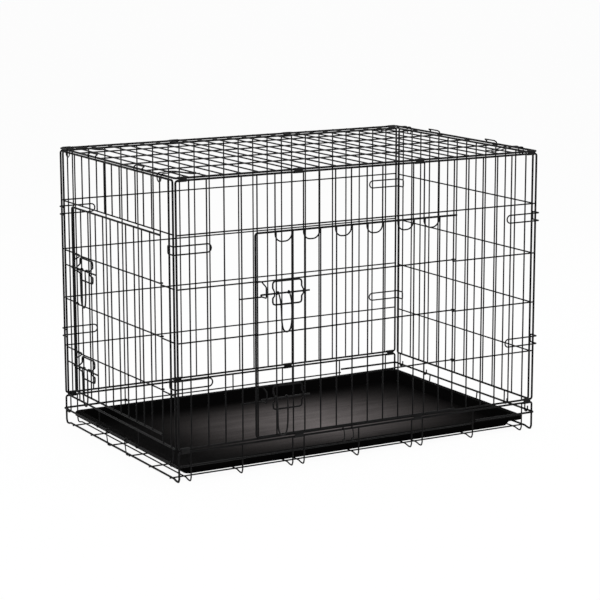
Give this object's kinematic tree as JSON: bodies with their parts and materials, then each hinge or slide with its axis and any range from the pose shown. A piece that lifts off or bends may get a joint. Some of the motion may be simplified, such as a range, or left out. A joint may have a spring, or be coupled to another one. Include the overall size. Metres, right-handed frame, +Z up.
{
  "type": "dog cage",
  "caption": "Folding black wire dog cage with a side door and an end door, each held by slide bolts, strip hinge clips, inward-folding ends and a plastic tray.",
  "frame": {"origin": "on the floor, below the middle of the cage's outer box", "axes": "+X along the cage's length, from the end with the door to the plain end; -Y out of the long side with the door; +Z up"},
  "size_m": [1.105, 0.729, 0.7759],
  "materials": {
    "black_coated_wire": "satin black electro-coat on drawn steel wire",
    "black_coated_latch": "satin black electro-coat on thin steel wire",
    "black_coated_clip": "satin black electro-coat on bent steel strip",
    "black_tray_plastic": "matte moulded plastic with a fine leathery grain"
  },
  "bodies": {
    "cage": {"base_panel": "black_coated_wire", "front_panel": "black_coated_wire", "back_panel": "black_coated_wire", "top_panel": "black_coated_wire", "top_hook_front_left": "black_coated_latch", "top_hook_front_right": "black_coated_latch", "top_hook_back_left": "black_coated_latch", "top_hook_back_right": "black_coated_latch", "base_clip_front_1": "black_coated_clip", "base_clip_front_2": "black_coated_clip", "base_clip_front_3": "black_coated_clip", "base_clip_front_4": "black_coated_clip", "base_clip_back_1": "black_coated_clip", "base_clip_back_2": "black_coated_clip", "base_clip_back_3": "black_coated_clip", "base_clip_back_4": "black_coated_clip", "top_clip_front_1": "black_coated_clip", "top_clip_front_2": "black_coated_clip", "top_clip_front_3": "black_coated_clip", "top_clip_front_4": "black_coated_clip", "top_clip_back_1": "black_coated_clip", "top_clip_back_2": "black_coated_clip", "top_clip_back_3": "black_coated_clip", "top_clip_back_4": "black_coated_clip"},
    "left_end": {"left_end_panel": "black_coated_wire"},
    "right_end": {"right_end_panel": "black_coated_wire"},
    "side_door": {"front_door": "black_coated_wire"},
    "end_door": {"left_door": "black_coated_wire"},
    "side_bolt_upper": {"front_bolt_upper": "black_coated_latch"},
    "side_bolt_lower": {"front_bolt_lower": "black_coated_latch"},
    "end_bolt_upper": {"left_bolt_upper": "black_coated_latch"},
    "end_bolt_lower": {"left_bolt_lower": "black_coated_latch"},
    "side_grip_upper": {"front_handle_upper": "black_coated_latch"},
    "side_grip_lower": {"front_handle_lower": "black_coated_latch"},
    "end_grip_upper": {"left_handle_upper": "black_coated_latch"},
    "end_grip_lower": {"left_handle_lower": "black_coated_latch"},
    "pan": {"tray": "black_tray_plastic"},
    "pan_hook_1": {"tray_hook_1": "black_coated_latch"},
    "pan_hook_2": {"tray_hook_2": "black_coated_latch"},
    "rail_bail": {"front_rail_clip": "black_coated_latch"}
  },
  "joints": [
    {"name": "left_end_fold", "type": "hinge", "parent": "cage", "child": "left_end", "pos_m": [-0.5355, 0.00812, 0.0433], "axis": [0, -1, 0], "range_deg": [-84, 0]},
    {"name": "right_end_fold", "type": "hinge", "parent": "cage", "child": "right_end", "pos_m": [0.5451, 0.00812, 0.05], "axis": [0, 1, 0], "range_deg": [-76, 0]},
    {"name": "side_door_swing", "type": "hinge", "parent": "cage", "child": "side_door", "pos_m": [0.27768, -0.34428, 0], "axis": [0, 0, 1], "range_deg": [0, 160]},
    {"name": "end_door_swing", "type": "hinge", "parent": "left_end", "child": "end_door", "pos_m": [-0.5323, -0.25798, 0], "axis": [0, 0, 1], "range_deg": [0, 160]},
    {"name": "side_bolt_upper_slide", "type": "slide", "parent": "side_door", "child": "side_bolt_upper", "axis": [1, 0, 0], "range_m": [0, 0.022]},
    {"name": "side_bolt_lower_slide", "type": "slide", "parent": "side_door", "child": "side_bolt_lower", "axis": [1, 0, 0], "range_m": [0, 0.022]},
    {"name": "end_bolt_upper_slide", "type": "slide", "parent": "end_door", "child": "end_bolt_upper", "axis": [0, -1, 0], "range_m": [0, 0.022]},
    {"name": "end_bolt_lower_slide", "type": "slide", "parent": "end_door", "child": "end_bolt_lower", "axis": [0, -1, 0], "range_m": [0, 0.022]},
    {"name": "side_grip_upper_turn", "type": "hinge", "parent": "side_bolt_upper", "child": "side_grip_upper", "pos_m": [-0.24931, -0.35868, 0.45902], "axis": [-1, 0, 0], "range_deg": [0, 100]},
    {"name": "side_grip_lower_turn", "type": "hinge", "parent": "side_bolt_lower", "child": "side_grip_lower", "pos_m": [-0.26111, -0.35868, 0.18994], "axis": [-1, 0, 0], "range_deg": [0, 100]},
    {"name": "end_grip_upper_turn", "type": "hinge", "parent": "end_bolt_upper", "child": "end_grip_upper", "pos_m": [-0.5467, 0.19782, 0.4579], "axis": [0, 1, 0], "range_deg": [0, 100]},
    {"name": "end_grip_lower_turn", "type": "hinge", "parent": "end_bolt_lower", "child": "end_grip_lower", "pos_m": [-0.5467, 0.19782, 0.1879], "axis": [0, 1, 0], "range_deg": [0, 100]},
    {"name": "pan_play", "type": "slide", "parent": "cage", "child": "pan", "axis": [1, 0, 0], "range_m": [-0.004, 0.004]},
    {"name": "pan_hook_1_turn", "type": "hinge", "parent": "cage", "child": "pan_hook_1", "pos_m": [-0.5355, -0.03988, 0.0433], "axis": [0, 1, 0], "range_deg": [0, 100]},
    {"name": "pan_hook_2_turn", "type": "hinge", "parent": "cage", "child": "pan_hook_2", "pos_m": [-0.5355, 0.07612, 0.0433], "axis": [0, 1, 0], "range_deg": [0, 100]},
    {"name": "rail_bail_turn", "type": "hinge", "parent": "cage", "child": "rail_bail", "pos_m": [-0.0436, -0.34288, 0.0785], "axis": [-1, 0, 0], "range_deg": [0, 100]}
  ]
}
